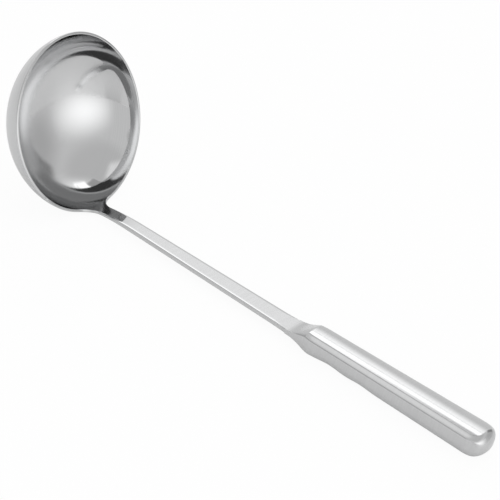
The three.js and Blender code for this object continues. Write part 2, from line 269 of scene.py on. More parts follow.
class LADLE_PG_studio(bpy.types.PropertyGroup):
    """Camera, lamps and floor."""

    azimuth: angle("View azimuth", "Of the camera, round the ladle from its side", 30.07)
    elevation: angle("View elevation", "Of the camera, above the table", 31.22)
    roll: angle("View roll", "Of the camera, about its own axis", 14.84)
    distance: length("View distance", "From the camera to the point it looks at", 920)
    lens: FloatProperty(name="Lens", description="Focal length", default=128.1, unit="CAMERA")
    aim: FloatVectorProperty(
        name="Aim", description="The point that the camera looks at",
        default=(-18.72 * MM, 31.98 * MM, 7.75 * MM),
        size=3, precision=5, unit="LENGTH", subtype="TRANSLATION",
    )
    fill: share("Fill", "Brightness of the room on the floor", 0.95)


class LADLE_PG_settings(bpy.types.PropertyGroup):
    """All settings of the ladle."""

    pressing: PointerProperty(type=LADLE_PG_pressing, name="Pressing", description="Bowl, neck and shank")
    handle: PointerProperty(type=LADLE_PG_handle, name="Handle", description="Hollow handle and its welds")
    finish: PointerProperty(type=LADLE_PG_finish, name="Finish", description="Steel finishes")
    studio: PointerProperty(type=LADLE_PG_studio, name="Studio", description="Camera, lamps and floor")


# Meshes

def rising(slope):
    """A step of length 1 in the XZ plane, at a slope."""
    return Vector((math.cos(slope), 0, math.sin(slope)))


def bezier(controls, along):
    """A point on a curve with these control points, and the curve's heading there."""
    points = list(controls)
    while len(points) > 2:
        points = [start.lerp(end, along) for start, end in zip(points, points[1:])]
    start, end = points
    return start.lerp(end, along), (end - start).normalized()


def clamp(value, low, high):
    """A value, kept between two others."""
    return min(max(value, low), high)


def smoothstep(value, low, high):
    """0 up to low and 1 from high on, with a smooth rise between them."""
    rise = clamp((value - low) / (high - low), 0, 1)
    return rise * rise * (3 - 2 * rise)


def mix(start, end, along):
    """A value between two others."""
    return start + (end - start) * along


def soft_max(first, second, width):
    """The larger of two values, with a rounded change where they differ by less than a width."""
    near = max(width - abs(first - second), 0)
    return max(first, second) + near**2 / (4 * width)


class Surface:
    """Faces that share their points, gathered before they become a mesh."""

    def __init__(self):
        self.points = []
        self.faces = []
        self.corner_normals = []
        self.finishes = []
        self.numbers = {}

    def number(self, point):
        """The number of a point, new or already there."""
        key = tuple(round(value / MEETING) for value in point)
        if key not in self.numbers:
            self.numbers[key] = len(self.points)
            self.points.append(Vector(point))
        return self.numbers[key]

    def add(self, corners, normals=None, finish=0):
        """Adds a face, without the corners that meet. It is smooth if its corners have normals."""
        kept = {}
        for place, corner in enumerate(corners):
            kept.setdefault(self.number(corner), place)
        if len(kept) < 3:
            return
        self.faces.append(tuple(kept))
        self.corner_normals.append(normals and [normals[place] for place in kept.values()])
        self.finishes.append(finish)

    def smooth_normals(self):
        """The normal at each point. Large faces count more than small ones."""
        sums = [Vector() for _ in self.points]
        for face in self.faces:
            first, *others = [self.points[number] for number in face]
            area = Vector()
            for second, third in zip(others, others[1:]):
                area += (second - first).cross(third - first)
            for number in face:
                sums[number] += area
        return [total.normalized() for total in sums]

    def to_piece(self, name, node, slot, finishes):
        """Makes the object that stands for a node of the construction."""
        mesh = bpy.data.meshes.new(name)
        mesh.from_pydata(self.points, [], self.faces)
        if mesh.validate():
            raise RuntimeError(f"{name} has faces that Blender can't use")
        for finish in finishes:
            mesh.materials.append(finish)
        mesh.polygons.foreach_set("material_index", self.finishes)
        mesh.polygons.foreach_set("use_smooth", [bool(normals) for normals in self.corner_normals])
        loose = Vector()
        corners = []
        for face, normals in zip(self.faces, self.corner_normals):
            corners.extend(normals or [loose] * len(face))
        mesh.normals_split_custom_set(corners)
        piece = bpy.data.objects.new(name, mesh)
        bpy.context.scene.collection.objects.link(piece)
        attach(piece, "root")
        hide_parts(node)


# Bowl, neck and shank

class Pressing:
    """The sheet of the bowl, neck, shank and tang, in the bowl's own frame: the rim lies in the
    plane z = 0, and the shank leaves along +X."""

    def __init__(self, sizes):
        self.sizes = sizes
        lean = math.tan(sizes.wall_lean)
        depth = sizes.inside_depth
        self.centre = depth**2 * lean / (sizes.mouth_radius - 2 * depth * lean)
        self.drop = depth + self.centre
        self.spread = sizes.mouth_radius / math.sqrt(1 - (self.centre / self.drop) ** 2)
        self.rim_angle = math.acos(self.centre / self.drop)
        neck_start = Vector((sizes.mouth_radius, 0, 0))
        neck_corner = neck_start + rising(QUARTER - sizes.wall_lean) * sizes.neck_length / 2
        neck_end = neck_corner + rising(sizes.shank_rise) * sizes.neck_length / 2
        self.neck = (neck_start, neck_corner, neck_end)

    @property
    def shank_top(self):
        """Height of the shank's upper face, when the bowl's back lies on the table."""
        rise = self.sizes.shank_rise
        bowl_reach = math.hypot(self.spread * math.sin(rise), self.drop * math.cos(rise))
        bowl_reach += self.sizes.bowl_wall - self.centre * math.cos(rise)
        neck_end = self.neck[-1]
        return bowl_reach - neck_end.x * math.sin(rise) + neck_end.z * math.cos(rise)

    @property
    def shank_bottom(self):
        """Height of the shank's lower face."""
        return self.shank_top - self.sizes.shank_thickness

    @property
    def shank_start(self):
        """Where the straight shank starts, along X."""
        return handle_reach()[0] - self.sizes.shank_length

    @property
    def mouth_distance(self):
        """Distance along the shank from the rim to the handle's mouth."""
        return self.sizes.neck_length + self.sizes.shank_length

    @property
    def wide_end(self):
        """Distance from the rim at which the shank's wide edges end."""
        return self.mouth_distance - self.sizes.edge_end

    def placement(self):
        """Lays the pressing down, with its shank running level into the handle's mouth."""
        turn = Matrix.Rotation(self.sizes.shank_rise, 4, "Y")
        shank_start = Vector((self.shank_start, 0, self.shank_top))
        return Matrix.Translation(shank_start - turn @ self.neck[-1]) @ turn

    def half_width(self, distance):
        """Half the shank's width, at a distance along it from the rim."""
        along = distance / self.mouth_distance
        return mix(self.sizes.width_at_rim, self.sizes.width_at_handle, along) / 2

    def bowl_point(self, rise, turn):
        """A point on the bowl's inside, from its lowest point (rise 0) up to the rim."""
        reach = self.spread * math.sin(rise)
        height = self.centre - self.drop * math.cos(rise)
        return Vector((reach * math.cos(turn), reach * math.sin(turn), height))

    def shank_point(self, distance, side):
        """A point on the upper face of the neck, shank and tang. The face starts as round as the
        rim and then flattens."""
        along = clamp(distance / self.sizes.neck_length, 0, 1)
        point, heading = bezier(self.neck, along)
        point += heading * (distance - along * self.sizes.neck_length)
        bend = (1 - smoothstep(along, 0, 1)) / self.sizes.mouth_radius
        if bend > 0:
            point.x -= (1 - math.sqrt(1 - (bend * side) ** 2)) / bend
        point.y = side
        return point

    def shank_thickness(self, distance):
        """The sheet's thickness, at a distance along the neck from the rim."""
        flattening = smoothstep(distance / self.sizes.neck_length, 0, 1)
        return mix(self.sizes.bowl_wall, self.sizes.shank_thickness, flattening)

    def edge(self, distance):
        """Width and drop of the rounded edges, at a distance along the shank from the rim."""
        sizes = self.sizes
        growth = smoothstep(distance, 0, sizes.neck_length)
        growth *= 1 - smoothstep(distance, self.wide_end - sizes.edge_fade, self.wide_end)
        return (
            mix(sizes.rim_rounding, sizes.edge_width, growth),
            mix(sizes.rim_rounding, sizes.edge_drop, growth),
        )

    def shank_rows(self):
        """Distances from the rim, with the half widths that leave room for the edge rounding."""
        sizes = self.sizes
        for row in range(1, FILLET_ROWS + 1):
            turn = QUARTER * row / FILLET_ROWS
            distance = sizes.neck_fillet - (sizes.neck_fillet + sizes.rim_rounding) * math.cos(turn)
            reach = sizes.neck_fillet + self.edge(distance)[0]
            yield distance, self.half_width(distance) + sizes.neck_fillet - reach * math.sin(turn)
        for row in range(1, BEND_ROWS + 1):
            distance = mix(sizes.neck_fillet, sizes.neck_length, row / BEND_ROWS)
            yield distance, self.half_width(distance) - self.edge(distance)[0]
        for distance in (self.wide_end - sizes.edge_fade, self.wide_end, self.mouth_distance):
            yield distance, self.half_width(distance) - self.edge(distance)[0]
        tang_end = self.mouth_distance + sizes.tang_length
        yield tang_end, sizes.tang_end_width / 2 - sizes.rim_rounding


def handle_reach():
    """Where the handle starts and ends, along X."""
    low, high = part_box("handle_upper_shell")
    return low.x, high.x


def pressing_sheet(form):
    """The upper side of the sheet, up to where its edges round off, and the thickness and the
    edge at its points."""
    sizes = form.sizes
    sheet = Surface()
    thickness = {}
    edges = {}
    neck_foot = sizes.width_at_rim / 2 + sizes.neck_fillet
    neck_turn = math.asin(neck_foot / sizes.mouth_radius)
    across = [2 * column / NECK_COLUMNS - 1 for column in range(NECK_COLUMNS + 1)]
    turns = [math.asin(neck_foot * side / sizes.mouth_radius) for side in across]
    for column in range(1, RIM_COLUMNS):
        turns.append(mix(neck_turn, 2 * math.pi - neck_turn, column / RIM_COLUMNS))
    outward = form.spread * math.cos(form.rim_angle)
    upward = form.drop * math.sin(form.rim_angle)
    top_ring = form.rim_angle - sizes.rim_rounding / math.hypot(outward, upward)

    below = [form.bowl_point(0, 0)] * len(turns)
    for ring in range(1, BOWL_RINGS + 1):
        here = [form.bowl_point(top_ring * ring / BOWL_RINGS, turn) for turn in turns]
        for column in range(len(turns)):
            after = (column + 1) % len(turns)
            sheet.add([below[column], here[column], here[after], below[after]])
        below = here
    for number in range(len(sheet.points)):
        thickness[number] = sizes.bowl_wall
        edges[number] = form.edge(0)

    below = below[: NECK_COLUMNS + 1]
    for distance, half_width in form.shank_rows():
        here = [form.shank_point(distance, half_width * side) for side in across]
        for column in range(NECK_COLUMNS):
            sheet.add([below[column], here[column], here[column + 1], below[column + 1]])
        for point in here:
            number = sheet.number(point)
            thickness[number] = form.shank_thickness(distance)
            edges[number] = form.edge(distance)
        below = here
    return sheet, thickness, edges


def open_edge(sheet):
    """The numbers of the points along the sheet's one open edge, in order."""
    sides = {side for face in sheet.faces for side in zip(face, face[1:] + face[:1])}
    following = {start: end for start, end in sides if (end, start) not in sides}
    loop = [min(following)]
    while following[loop[-1]] != loop[0]:
        loop.append(following[loop[-1]])
    return loop


def edge_profile(thickness, width, drop):
    """A rounded edge from the sheet's upper side to its lower one: steps outward and down, and the
    way it faces."""
    upper = []
    for step in range(EDGE_STEPS + 1):
        turn = QUARTER * step / EDGE_STEPS
        facing = Vector((drop * math.sin(turn), width * math.cos(turn))).normalized()
        upper.append((width * math.sin(turn), drop * (1 - math.cos(turn)), facing.x, facing.y))
    yield from upper
    for outward, down, sideways, upward in reversed(upper):
        yield outward, thickness - down, sideways, -upward


def solid_pressing(form):
    """The sheet with its thickness and its rounded edges, laid down in its place."""
    sheet, thickness, edges = pressing_sheet(form)
    facing = sheet.smooth_normals()
    place = form.placement()
    turn = place.to_3x3()
    shank_start = form.shank_start - MEETING
    solid = Surface()

    def finish_of(corners, in_bowl):
        in_shank = min(corner.x for corner in corners) > shank_start
        return SHANK_FINISH if in_shank else in_bowl

    for face in sheet.faces:
        upper = [place @ sheet.points[number] for number in face]
        sunk = [sheet.points[number] - facing[number] * thickness[number] for number in face]
        lower = [place @ point for point in sunk]
        normals = [turn @ facing[number] for number in face]
        downward = [-normal for normal in normals]
        solid.add(upper, normals, finish_of(upper, INSIDE_FINISH))
        solid.add(lower[::-1], downward[::-1], finish_of(upper, BACK_FINISH))

    loop = open_edge(sheet)
    strips = []
    for before, number, after in zip(loop[-1:] + loop[:-1], loop, loop[1:] + loop[:1]):
        point, up = sheet.points[number], facing[number]
        out = (sheet.points[after] - sheet.points[before]).cross(up).normalized()
        strip = []
        for outward, down, sideways, upward in edge_profile(thickness[number], *edges[number]):
            corner = place @ (point + out * outward - up * down)
            strip.append((corner, turn @ (out * sideways + up * upward)))
        strips.append(strip)
    for strip, following in zip(strips, strips[1:] + strips[:1]):
        for step in range(len(strip) - 1):
            ends = (following[step], strip[step], strip[step + 1], following[step + 1])
            corners, normals = zip(*ends)
            solid.add(corners, normals, finish_of(corners, INSIDE_FINISH))
    return solid


# Handle

class Handle:
    """The handle's outer form: an outline seen from above, and a section that is a box with a
    crowned top, a band along its upper edges and a round underside."""

    def __init__(self, sizes, pressing):
        self.sizes = sizes
        self.pressing = pressing
        self.mouth, self.end = handle_reach()
        self.collar_start = self.mouth - sizes.collar_length
        self.shoulder_end = self.mouth + sizes.shoulder_length
        self.grip_start = self.shoulder_end + sizes.heel_length
        self.rear = self.end - sizes.end_rounding
        self.collar_top = pressing.shank_top + sizes.weld_gap + sizes.collar_lip
        self.collar_bottom = pressing.shank_bottom - sizes.weld_gap - sizes.collar_lip
        self.ramp_end = self.mouth + sizes.ramp_top
        self.ramp_start = self.ramp_end - (sizes.front_top - self.collar_top) / math.tan(sizes.ramp_slope)
        seam = (pressing.shank_top + pressing.shank_bottom) / 2
        self.seam_low = seam - sizes.seam_weld_height / 2
        self.seam_high = seam + sizes.seam_weld_height / 2
        self.band_arcs = (
            (0, sizes.band_low, sizes.band_edge),
            (sizes.band_low, sizes.band_high, sizes.band_round),
            (sizes.band_high, sizes.top_slope, sizes.top_edge),
        )
        self.band_width, _ = self.band_profile(0)[-1]
        self.crown_bend = sizes.crown / (sizes.front_width / 2 - self.band_width) ** 2

    def band_profile(self, roundness):
        """The band's points from the flank to the top: how far each lies inward and upward from the
        flank. With roundness 0 the band has two edges, and with 1 it is one arc."""
        points = [(0, 0)]
        for start, end, side_radius in self.band_arcs:
            inward, upward = points[-1]
            radius = mix(side_radius, self.sizes.end_upper, roundness)
            for step in range(1, BAND_STEPS + 1):
                slope = mix(start, end, step / BAND_STEPS)
                points.append((
                    inward + radius * (math.cos(start) - math.cos(slope)),
                    upward + radius * (math.sin(slope) - math.sin(start)),
                ))
        return points

    def shank_half(self, x):
        """Half the shank's width at a place along X."""
        return self.pressing.half_width(x - self.mouth + self.pressing.mouth_distance)

    def outline(self):
        """Half the outline seen from above, as stations from the weld collar to the tip."""
        sizes = self.sizes
        collar_half = self.shank_half(self.collar_start) + sizes.weld_gap + sizes.collar_lip
        start = Vector((self.collar_start, collar_half))
        front = Vector((self.shoulder_end, sizes.front_width / 2))
        rear = Vector((self.rear, sizes.rear_width / 2))
        tip = Vector((self.end, 0))
        taper = (rear - front).normalized()
        sweep = front.x - start.x
        leave = Vector((sweep * sizes.shoulder_delay, 0))
        shoulder = (start, start + leave, front - taper * sweep * (1 - sizes.shoulder_delay), front)
        end = self.round_end(rear, tip, sizes.end_squareness)
        inward = Vector((taper.y, -taper.x)) * self.band_width
        top_tip = tip - Vector((sizes.end_setback, 0))
        top_end = self.round_end(rear + inward, top_tip, sizes.top_squareness)
        mouth_share = self.share_at(shoulder, self.mouth)
        grip_end = self.grip_start + sizes.hollow_count * sizes.hollow_length
        grip_share = (grip_end - front.x) / (rear.x - front.x)
        stretches = (
            (shoulder, 0, mouth_share, COLLAR_STEPS),
            (shoulder, mouth_share, 1, SHOULDER_STEPS),
            ((front, rear), 0, grip_share, GRIP_STEPS),
            ((front, rear), grip_share, 1, REAR_STEPS),
        )
        stations = [self.station(shoulder, 0)]
        for controls, low, high, steps in stretches:
            for step in range(1, steps + 1):
                stations.append(self.station(controls, mix(low, high, step / steps)))
        for step in range(1, END_STEPS + 1):
            stations.append(self.station(end, step / END_STEPS, top_end))
        return stations

    @staticmethod
    def round_end(rear, tip, squareness):
        """The control points of a rounded end."""
        beside_rear = Vector((mix(rear.x, tip.x, squareness), rear.y))
        beside_tip = Vector((tip.x, rear.y * squareness))
        return rear, beside_rear, beside_tip, tip

    def station(self, controls, along, top_controls=None):
        """One station on a stretch of the outline. The edge of the top runs beside the outline, or
        on a curve of its own."""
        point, heading = bezier(controls, along)
        out = Vector((-heading.y, heading.x))
        to_top = -out * self.band_width
        if top_controls:
            to_top = bezier(top_controls, along)[0] - point
        return Station(*point, *out, *to_top)

    @staticmethod
    def share_at(controls, x):
        """How far along a curve that runs along +X it reaches a given x."""
        low, high = 0, 1
        for _ in range(HALVINGS):
            middle = (low + high) / 2
            if bezier(controls, middle)[0].x < x:
                low = middle
            else:
                high = middle
        return high

    def top(self, x):
        """Height of the top's edge. Its ramp leaves the shank in a soft curve and meets the top in
        an edge."""
        sizes = self.sizes
        along = (x - self.shoulder_end) / (self.end - self.shoulder_end)
        level = mix(sizes.front_top, sizes.rear_top, along)
        ramp = sizes.front_top + (x - self.ramp_end) * math.tan(sizes.ramp_slope)
        rise = soft_max(self.collar_top, ramp, sizes.ramp_foot)
        return -soft_max(-rise, -level, sizes.ramp_edge)

    def underside(self, x):
        """Height of the underside, with its finger hollows."""
        sizes = self.sizes
        along = (x - self.grip_start) / sizes.hollow_length
        in_grip = 0 < along < sizes.hollow_count
        hollow = sizes.hollow_depth * math.sin(math.pi * along) ** 2 if in_grip else 0
        fall = smoothstep(x, self.ramp_start - sizes.ramp_foot, self.shoulder_end)
        return self.collar_bottom * (1 - fall) + hollow

    def growth(self, x):
        """How large the band and the crown are: almost 0 at the ramp's foot, and 1 behind it."""
        along = (x - self.ramp_start) / (self.ramp_end - self.ramp_start)
        return clamp(along, SMALLEST_BAND, 1)

    def section(self, station, margin=0):
        """Right half of a section, drawn in by a margin, from the underside's edge to the middle of
        the top."""
        sizes = self.sizes
        heel_end = self.grip_start + sizes.hollow_length / 2
        roundness = max(station.out_x, 0) ** 2
        rounding = mix(sizes.underside_radius, sizes.end_lower, roundness)
        rounding *= smoothstep(station.x, self.collar_start, heel_end)
        rounding = max(rounding - margin, sizes.collar_lip)
        low = self.underside(station.x) + margin

        def at(inset):
            reach = inset + margin
            side = max(station.half - reach * station.out_y, 0)
            return Vector((station.x - reach * station.out_x, side, 0))

        def flank(height):
            sunk = clamp(rounding - (height - low), 0, rounding)
            point = at(rounding - math.sqrt(rounding**2 - sunk**2))
            point.z = height
            return point

        points = []
        last_turn = math.acos(clamp(1 - (self.seam_low - low) / rounding, 0, 1))
        for step in range(UNDERSIDE_STEPS):
            turn = last_turn * step / UNDERSIDE_STEPS
            point = at(rounding * (1 - math.sin(turn)))
            point.z = self.underside(point.x) + margin + rounding * (1 - math.cos(turn))
            points.append(point)
        points += [flank(self.seam_low), flank(self.seam_high)]
        scale = self.growth(station.x)
        band = self.band_profile(roundness)
        band_width, band_height = band[-1]
        to_top = Vector((station.top_x, station.top_y, 0)) * scale
        edge = at(0) + to_top
        edge.y = max(edge.y, 0)
        arch = self.crown(edge) if station.x > self.rear else 0
        fall = band_height * scale + margin
        band_start = self.top(station.x) - fall
        for step in range(1, FLANK_STEPS):
            points.append(flank(mix(self.seam_high, band_start, step / FLANK_STEPS)))
        for inward, upward in band:
            point = at(0) + to_top * (inward / band_width)
            point.y = max(point.y, 0)
            lift = (band_height * scale + arch) * upward / band_height
            point.z = self.top(point.x) - fall + lift
            points.append(point)
        edge = points[-1]
        bend = self.crown_bend * self.growth(edge.x)
        for step in range(1, CROWN_STEPS + 1):
            side = edge.y * (1 - step / CROWN_STEPS)
            points.append(Vector((edge.x, side, edge.z + bend * (edge.y**2 - side**2))))
        return points

    def crown(self, point):
        """How far the crown rises above the top's edge along the sides, at a point on the top."""
        along = (point.x - self.shoulder_end) / (self.rear - self.shoulder_end)
        half = mix(self.sizes.front_width, self.sizes.rear_width, along) / 2 - self.band_width
        return self.crown_bend * max(half**2 - point.y**2, 0)


class HandleSkin:
    """The handle's outer and inner sections, and the way its outer surface faces."""

    def __init__(self, form):
        self.form = form
        self.stations = form.outline()
        self.mouth_row = COLLAR_STEPS
        self.low_count = UNDERSIDE_STEPS + 1
        self.rings = [self.ring(form.section(station)) for station in self.stations]
        self.size = len(self.rings[0])
        whole = Surface()
        for row in range(len(self.rings) - 1):
            for column in range(self.size):
                whole.add(quad(self.rings, row, column, (column + 1) % self.size))
        self.normals = whole.smooth_normals()
        self.whole = whole

    @staticmethod
    def ring(half):
        """A whole section from its right half: up the right side, over the top and down the left side."""
        mirrored = [Vector((point.x, -point.y, point.z)) for point in half[-2::-1]]
        return half + mirrored

    def facing(self, point):
        """The way the outer surface faces at one of its points."""
        return self.normals[self.whole.number(point)]

    def inner_ring(self, station):
        """The inside of the shells, clear of the tang."""
        form = self.form
        deepening = smoothstep(station.x, form.mouth, form.shoulder_end)
        half = form.section(station, mix(form.sizes.mouth_wall, form.sizes.wall, deepening))
        clear_of_tang = form.pressing.shank_top + form.sizes.weld_gap
        for point in half[self.low_count + 1 :]:
            point.z = max(point.z, clear_of_tang)
        return self.ring(half)

    def slot_ring(self, ring):
        """The slot in the mouth weld, where the shank passes through."""
        form = self.form
        gap = form.sizes.weld_gap
        low = form.pressing.shank_bottom - gap
        high = form.pressing.shank_top + gap
        slot = []
        for point in ring:
            side = form.shank_half(point.x) + gap
            slot.append(Vector((point.x, clamp(point.y, -side, side), clamp(point.z, low, high))))
        return slot

    def skin(self, solid, outer, inner, columns):
        """Adds the outer and inner faces between columns that follow one another."""
        for row in range(len(outer) - 1):
            for column, after in zip(columns, columns[1:]):
                corners = quad(outer, row, column, after)
                solid.add(corners, [self.facing(corner) for corner in corners])
                solid.add(quad(inner, row, column, after)[::-1])

    @staticmethod
    def cut(solid, outer, inner, first, last):
        """Adds the cut faces along the first and the last column."""
        for row in range(len(outer) - 1):
            forward = (outer[row], outer[row + 1], inner[row + 1], inner[row])
            solid.add([section[first] for section in forward])
            backward = (outer[row], inner[row], inner[row + 1], outer[row + 1])
            solid.add([section[last] for section in backward])

    @staticmethod
    def end_face(solid, outer, inner, columns):
        """Adds the face across the wall at the front of a row of sections."""
        for column, after in zip(columns, columns[1:]):
            solid.add([outer[column], inner[column], inner[after], outer[after]])

    def shell(self, *strips):
        """A piece of the handle behind its mouth, made of strips of columns."""
        outer = self.rings[self.mouth_row :]
        inner = [self.inner_ring(station) for station in self.stations[self.mouth_row :]]
        solid = Surface()
        for columns in strips:
            self.skin(solid, outer, inner, columns)
            self.cut(solid, outer, inner, columns[0], columns[-1])
            self.end_face(solid, outer[0], inner[0], columns)
        return solid

    def collar(self):
        """The weld in front of the mouth, all round the shank."""
        outer = self.rings[: self.mouth_row + 1]
        inner = [self.slot_ring(ring) for ring in outer]
        columns = [*range(self.size), 0]
        solid = Surface()
        self.skin(solid, outer, inner, columns)
        self.end_face(solid, outer[0], inner[0], columns)
        self.end_face(solid, outer[-1], inner[-1], columns[::-1])
        return solid


def quad(rows, row, column, after):
    """The corners between two rows and two columns, in the order that makes the outer side face out."""
    return [rows[row][column], rows[row][after], rows[row + 1][after], rows[row + 1][column]]


# Finishes

def add_node(tree, kind, sockets=None, **settings):
    """Adds a node, with values or links on its sockets."""
    node = tree.nodes.new(kind)
    for name, value in settings.items():
        setattr(node, name, value)
    for socket, value in (sockets or {}).items():
        if isinstance(value, bpy.types.NodeSocket):
            tree.links.new(value, node.inputs[socket])
        else:
            node.inputs[socket].default_value = value
    return node


def new_material(name):
    """A material and its empty node tree."""
    material = bpy.data.materials.new(name)
    material.use_nodes = True
    material.node_tree.nodes.clear()
    return material, material.node_tree


def between(tree, value, low, high, start=0.0, end=1.0, curve="LINEAR"):
    """Maps a value from one range to another, and keeps it in there."""
    sockets = {"Value": value, "From Min": start, "From Max": end, "To Min": low, "To Max": high}
    return add_node(tree, "ShaderNodeMapRange", sockets, interpolation_type=curve).outputs["Result"]


def arithmetic(tree, operation, *values):
    """The result of a sum on numbers."""
    node = add_node(tree, "ShaderNodeMath", dict(enumerate(values)), operation=operation)
    return node.outputs["Value"]


def vector_sum(tree, operation, *values):
    """The result of a sum on vectors."""
    node = add_node(tree, "ShaderNodeVectorMath", dict(enumerate(values)), operation=operation)
    return node.outputs["Value" if operation == "LENGTH" else "Vector"]


def mix_shaders(tree, amount, first, second):
    """The first shader at an amount of 0, and the second at 1."""
    node = add_node(tree, "ShaderNodeMixShader", {0: amount, 1: first, 2: second})
    return node.outputs["Shader"]


def white_light(tree, kind, strength):
    """White light from a surface or from the world."""
    return add_node(tree, kind, {"Color": WHITE, "Strength": strength}).outputs[0]


def fine_noise(tree, dimensions, socket, place):
    """Noise for the grain of steel."""
    sockets = {socket: place, "Scale": 1.0, "Detail": GRAIN_DETAIL}
    return add_node(tree, "ShaderNodeTexNoise", sockets, noise_dimensions=dimensions).outputs["Fac"]


def add_steel(tree, tone, roughness, grain, bump):
    """Steel whose grain shows in its tone, its gloss and its surface."""
    tones = add_node(tree, "ShaderNodeValToRGB", {"Fac": grain})
    dark, light = tones.color_ramp.elements
    dark.color = (*(value * GRAIN_CONTRAST for value in tone), 1)
    light.color = (*tone, 1)
    raised = add_node(tree, "ShaderNodeBump", {
        "Height": grain,
        "Strength": bump,
        "Distance": GRAIN_DEPTH,
    })
    shader = add_node(tree, "ShaderNodeBsdfPrincipled", {
        "Base Color": tones.outputs["Color"],
        "Metallic": 1.0,
        "Roughness": roughness,
        "Normal": raised.outputs["Normal"],
    })
    add_node(tree, "ShaderNodeOutputMaterial", {"Surface": shader.outputs["BSDF"]})


def brushed_steel(name, tone, roughness):
    """Steel brushed finely across X."""
    material, tree = new_material(name)
    place = add_node(tree, "ShaderNodeTexCoord").outputs["Object"]
    stretched = add_node(tree, "ShaderNodeMapping", {"Vector": place, "Scale": BRUSH_SCALE})
    grain = fine_noise(tree, "3D", "Vector", stretched.outputs["Vector"])
    gloss = between(tree, grain, *(roughness * part for part in GLOSS_SPREAD))
    add_steel(tree, tone, gloss, grain, BRUSH_BUMP)
    return material


def turned_steel(name, tone, form, inner, outer):
    """Steel polished in rings round the bowl's axis, with the roughness of the bottom and wall."""
    material, tree = new_material(name)
    placement = form.placement()
    axis = placement.to_3x3() @ Vector((0, 0, 1))
    place = add_node(tree, "ShaderNodeTexCoord").outputs["Object"]
    moved = vector_sum(tree, "SUBTRACT", place, placement.translation)
    radius = vector_sum(tree, "LENGTH", vector_sum(tree, "CROSS_PRODUCT", moved, axis))
    grain = fine_noise(tree, "1D", "W", arithmetic(tree, "MULTIPLY", radius, RING_SCALE))
    reach = form.sizes.mouth_radius
    zone = between(tree, radius, inner, outer, DISC_EDGE * reach, WALL_EDGE * reach)
    gloss = arithmetic(tree, "MULTIPLY", zone, between(tree, grain, *GLOSS_SPREAD))
    add_steel(tree, tone, gloss, grain, RING_BUMP)
    return material


# Studio

def direction(azimuth, elevation):
    """A step of length 1, at an azimuth from +X and an elevation above the table."""
    level = math.cos(elevation)
    return Vector((level * math.cos(azimuth), level * math.sin(azimuth), math.sin(elevation)))


def seen_in_steel(tree):
    """1 for rays that metal or glass passes on, and 0 for others."""
    path = add_node(tree, "ShaderNodeLightPath").outputs
    return arithmetic(tree, "MAXIMUM", path["Is Glossy Ray"], path["Is Transmission Ray"])


def seen_by_camera(tree):
    """1 for rays straight from the camera, and 0 for others."""
    return add_node(tree, "ShaderNodeLightPath").outputs["Is Camera Ray"]


def stage_sheet(name, width, height, material):
    """A flat sheet of the stage, that looks along its +Z."""
    corners = [(x * width / 2, y * height / 2, 0) for x, y in ((-1, -1), (1, -1), (1, 1), (-1, 1))]
    mesh = bpy.data.meshes.new(name)
    mesh.from_pydata(corners, [], [range(4)])
    mesh.materials.append(material)
    sheet = bpy.data.objects.new(name, mesh)
    bpy.context.scene.collection.objects.link(sheet)
    sheet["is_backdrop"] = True
    return sheet


def feathering(tree, feather):
    """1 in the middle of a sheet and 0 along its edges, with a soft change over a share of its size."""
    place = add_node(tree, "ShaderNodeTexCoord").outputs["Generated"]
    sides = add_node(tree, "ShaderNodeSeparateXYZ", {0: place}).outputs
    masks = []
    for side in (sides["X"], sides["Y"]):
        from_middle = arithmetic(tree, "ABSOLUTE", arithmetic(tree, "SUBTRACT", side, 0.5))
        masks.append(between(tree, from_middle, 1.0, 0.0, 0.5 - feather, 0.5, "SMOOTHSTEP"))
    return arithmetic(tree, "MULTIPLY", *masks)


def add_card(card, reach):
    """Stands up a card with feathered edges that shows in the steel alone, and from the second
    reflection on if it is for those alone."""
    material, tree = new_material(card.name)
    mask = feathering(tree, card.feather)
    if card.second_only:
        depth = add_node(tree, "ShaderNodeLightPath").outputs["Glossy Depth"]
        later = arithmetic(tree, "GREATER_THAN", depth, SECOND_REFLECTION)
        mask = arithmetic(tree, "MULTIPLY", mask, later)
    clear = add_node(tree, "ShaderNodeBsdfTransparent").outputs["BSDF"]
    glow = white_light(tree, "ShaderNodeEmission", card.brightness)
    blend = mix_shaders(tree, mask, clear, glow)
    add_node(tree, "ShaderNodeOutputMaterial", {"Surface": blend})
    spreads = (card.width, card.height)
    size = [2 * reach * math.tan(math.radians(spread) / 2) for spread in spreads]
    sheet = stage_sheet(card.name, *size, material)
    away = direction(math.radians(card.azimuth), math.radians(card.elevation))
    facing = away.to_track_quat("-Z", "Y").to_matrix().to_4x4()
    roll = Matrix.Rotation(math.radians(card.roll), 4, "Z")
    sheet.matrix_world = Matrix.Translation(away * reach) @ facing @ roll
    sheet.visible_camera = False
    sheet.visible_diffuse = False
    sheet.visible_shadow = False


def add_floor():
    """A white floor that stays white to the camera and takes a soft shadow."""
    material, tree = new_material("white_floor")
    paper = add_node(tree, "ShaderNodeBsdfPrincipled", {
        "Base Color": (PAPER_TONE, PAPER_TONE, PAPER_TONE, 1),
        "Roughness": PAPER_ROUGHNESS,
    })
    glow = white_light(tree, "ShaderNodeEmission", 1.0)
    to_camera = arithmetic(tree, "MULTIPLY", seen_by_camera(tree), FLOOR_GLOW)
    to_steel = arithmetic(tree, "MULTIPLY", seen_in_steel(tree), FLOOR_SHEEN)
    amount = arithmetic(tree, "ADD", to_camera, to_steel)
    blend = mix_shaders(tree, amount, paper.outputs["BSDF"], glow)
    add_node(tree, "ShaderNodeOutputMaterial", {"Surface": blend})
    floor = stage_sheet("floor", FLOOR_SIZE, FLOOR_SIZE, material)
    floor.location.z = FLOOR_LEVEL


